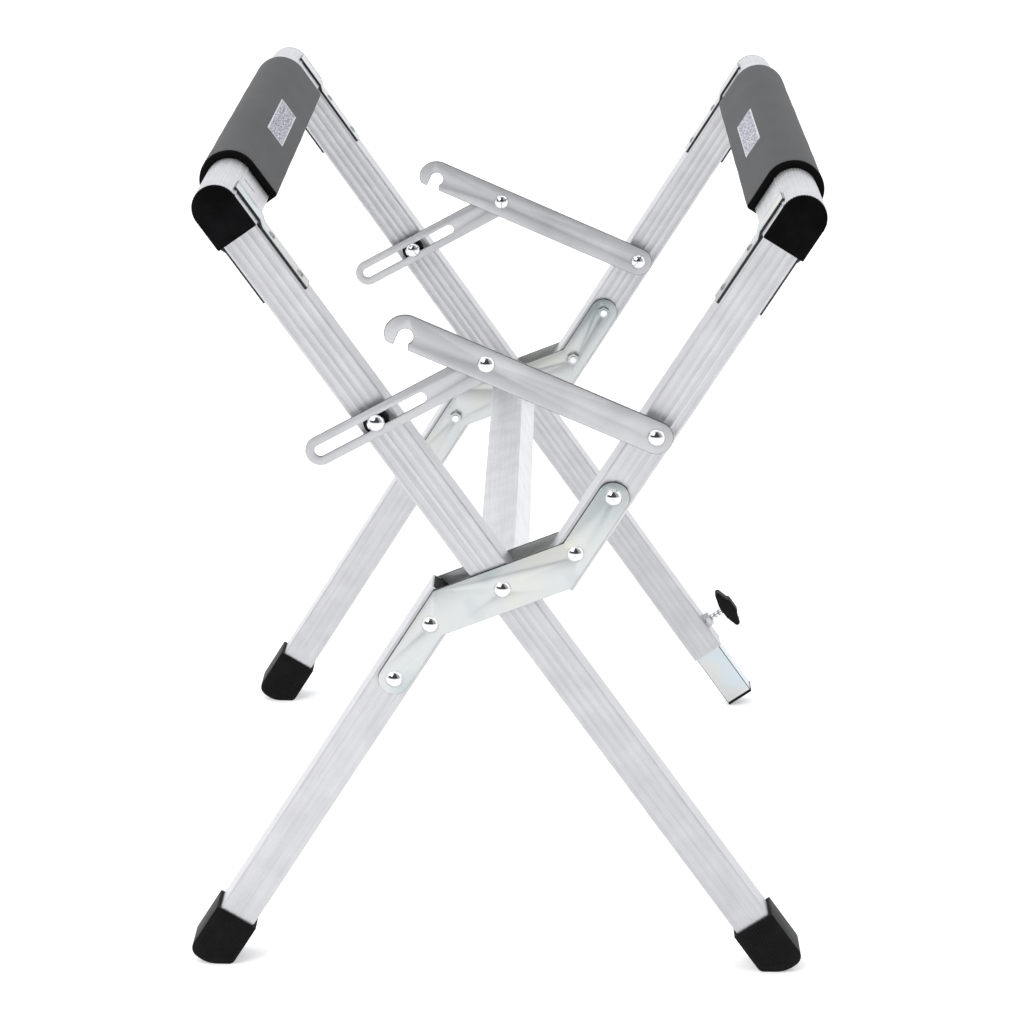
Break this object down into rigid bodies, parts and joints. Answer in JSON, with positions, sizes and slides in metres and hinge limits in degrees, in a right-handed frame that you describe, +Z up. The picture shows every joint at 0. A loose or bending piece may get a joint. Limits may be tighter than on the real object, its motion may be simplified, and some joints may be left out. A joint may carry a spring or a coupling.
{
  "type": "folding work stand",
  "caption": "Folding X-frame work stand with padded rails, gusset plates and a cross bar at the pivot, hooked latch arms on slotted links and an adjustable foot.",
  "frame": {"origin": "on the ground under the middle of the stand", "axes": "+X across the spread of the legs towards the cranked legs' rail, +Y along the rails away from the front, +Z up"},
  "size_m": [0.6484, 0.7912, 0.8565],
  "materials": {
    "extruded_aluminium": "satin",
    "foam": "matt closed-cell foam",
    "black_plastic": "fine grained",
    "black_rubber": "matt",
    "black_nylon": "smooth",
    "zinc_plate": "zinc plated",
    "steel_strip": "satin zinc",
    "bright_fastener": "bright"
  },
  "bodies": {
    "straight_frame": {"foam_left": "foam", "foot_cap_a_front": "black_plastic", "leg_a_front": "extruded_aluminium", "leg_a_rear": "extruded_aluminium", "lock_nut": "bright_fastener", "lock_washer": "bright_fastener", "rail_cap_left_front": "black_plastic", "rail_cap_left_rear": "black_plastic", "rail_left": "extruded_aluminium", "slot_bolt_front": "bright_fastener", "slot_bolt_rear": "bright_fastener", "slot_discs": "black_nylon", "slot_nuts": "bright_fastener", "strap_a_front_inner": "zinc_plate", "strap_a_front_outer": "zinc_plate", "strap_a_rear_inner": "zinc_plate", "strap_a_rear_outer": "zinc_plate", "strap_rivets_a": "bright_fastener"},
    "cranked_frame": {"arm_bolt_front": "bright_fastener", "arm_bolt_rear": "bright_fastener", "arm_nuts": "bright_fastener", "arm_sleeves": "bright_fastener", "cross_bar": "extruded_aluminium", "foam_right": "foam", "foot_cap_b_front": "black_plastic", "foot_cap_b_rear": "black_plastic", "gusset_bolts_front": "bright_fastener", "gusset_bolts_rear": "bright_fastener", "gusset_inner_front": "zinc_plate", "gusset_inner_rear": "zinc_plate", "gusset_nuts_front": "bright_fastener", "gusset_nuts_rear": "bright_fastener", "gusset_outer_front": "zinc_plate", "gusset_outer_rear": "zinc_plate", "leg_b_lower_front": "extruded_aluminium", "leg_b_lower_rear": "extruded_aluminium", "leg_b_upper_front": "extruded_aluminium", "leg_b_upper_rear": "extruded_aluminium", "pivot_bolt_front": "bright_fastener", "pivot_bolt_rear": "bright_fastener", "pivot_nuts": "bright_fastener", "rail_cap_right_front": "black_plastic", "rail_cap_right_rear": "black_plastic", "rail_right": "extruded_aluminium", "strap_b_front_inner": "zinc_plate", "strap_b_front_outer": "zinc_plate", "strap_b_rear_inner": "zinc_plate", "strap_b_rear_outer": "zinc_plate", "strap_rivets_b": "bright_fastener"},
    "arm_front": {"latch_arm_front": "steel_strip", "link_rivet_front": "bright_fastener"},
    "arm_rear": {"latch_arm_rear": "steel_strip", "link_rivet_rear": "bright_fastener"},
    "link_front": {"slotted_link_front": "steel_strip"},
    "link_rear": {"slotted_link_rear": "steel_strip"},
    "foot": {"foot_tube": "zinc_plate", "foot_plug": "black_rubber"},
    "knob": {"lock_knob": "black_plastic", "lock_screw": "bright_fastener"}
  },
  "joints": [
    {"name": "fold", "type": "hinge", "parent": "straight_frame", "child": "cranked_frame", "pos_m": [0.0043, 0, 0.431], "axis": [0, -1, 0], "range_deg": [0, 50]},
    {"name": "arm_front_turn", "type": "hinge", "parent": "cranked_frame", "child": "arm_front", "pos_m": [0.15638, -0.38885, 0.59841], "axis": [0, -1, 0], "range_deg": [-46, 0]},
    {"name": "arm_rear_turn", "type": "hinge", "parent": "cranked_frame", "child": "arm_rear", "pos_m": [0.15638, 0.33115, 0.59841], "axis": [0, -1, 0], "range_deg": [-46, 0]},
    {"name": "link_front_turn", "type": "hinge", "parent": "arm_front", "child": "link_front", "pos_m": [-0.0129, -0.38535, 0.6717], "axis": [0, -1, 0], "range_deg": [0, 94.5]},
    {"name": "link_rear_turn", "type": "hinge", "parent": "arm_rear", "child": "link_rear", "pos_m": [-0.0129, 0.33465, 0.6717], "axis": [0, -1, 0], "range_deg": [0, 94.5]},
    {"name": "foot_slide", "type": "slide", "parent": "straight_frame", "child": "foot", "axis": [0.5793, 0, -0.8151], "range_m": [-0.035, 0.045]},
    {"name": "knob_turn", "type": "hinge", "parent": "straight_frame", "child": "knob", "pos_m": [0.25579, 0.36265, 0.11164], "axis": [0.8151, 0, 0.5793], "range_deg": [-180, 180]}
  ],
  "couplings": [
    {"joint": "arm_front_turn", "follows": "fold", "ratio": -0.916},
    {"joint": "arm_rear_turn", "follows": "fold", "ratio": -0.916},
    {"joint": "link_front_turn", "follows": "fold", "ratio": 1.88},
    {"joint": "link_rear_turn", "follows": "fold", "ratio": 1.88}
  ]
}
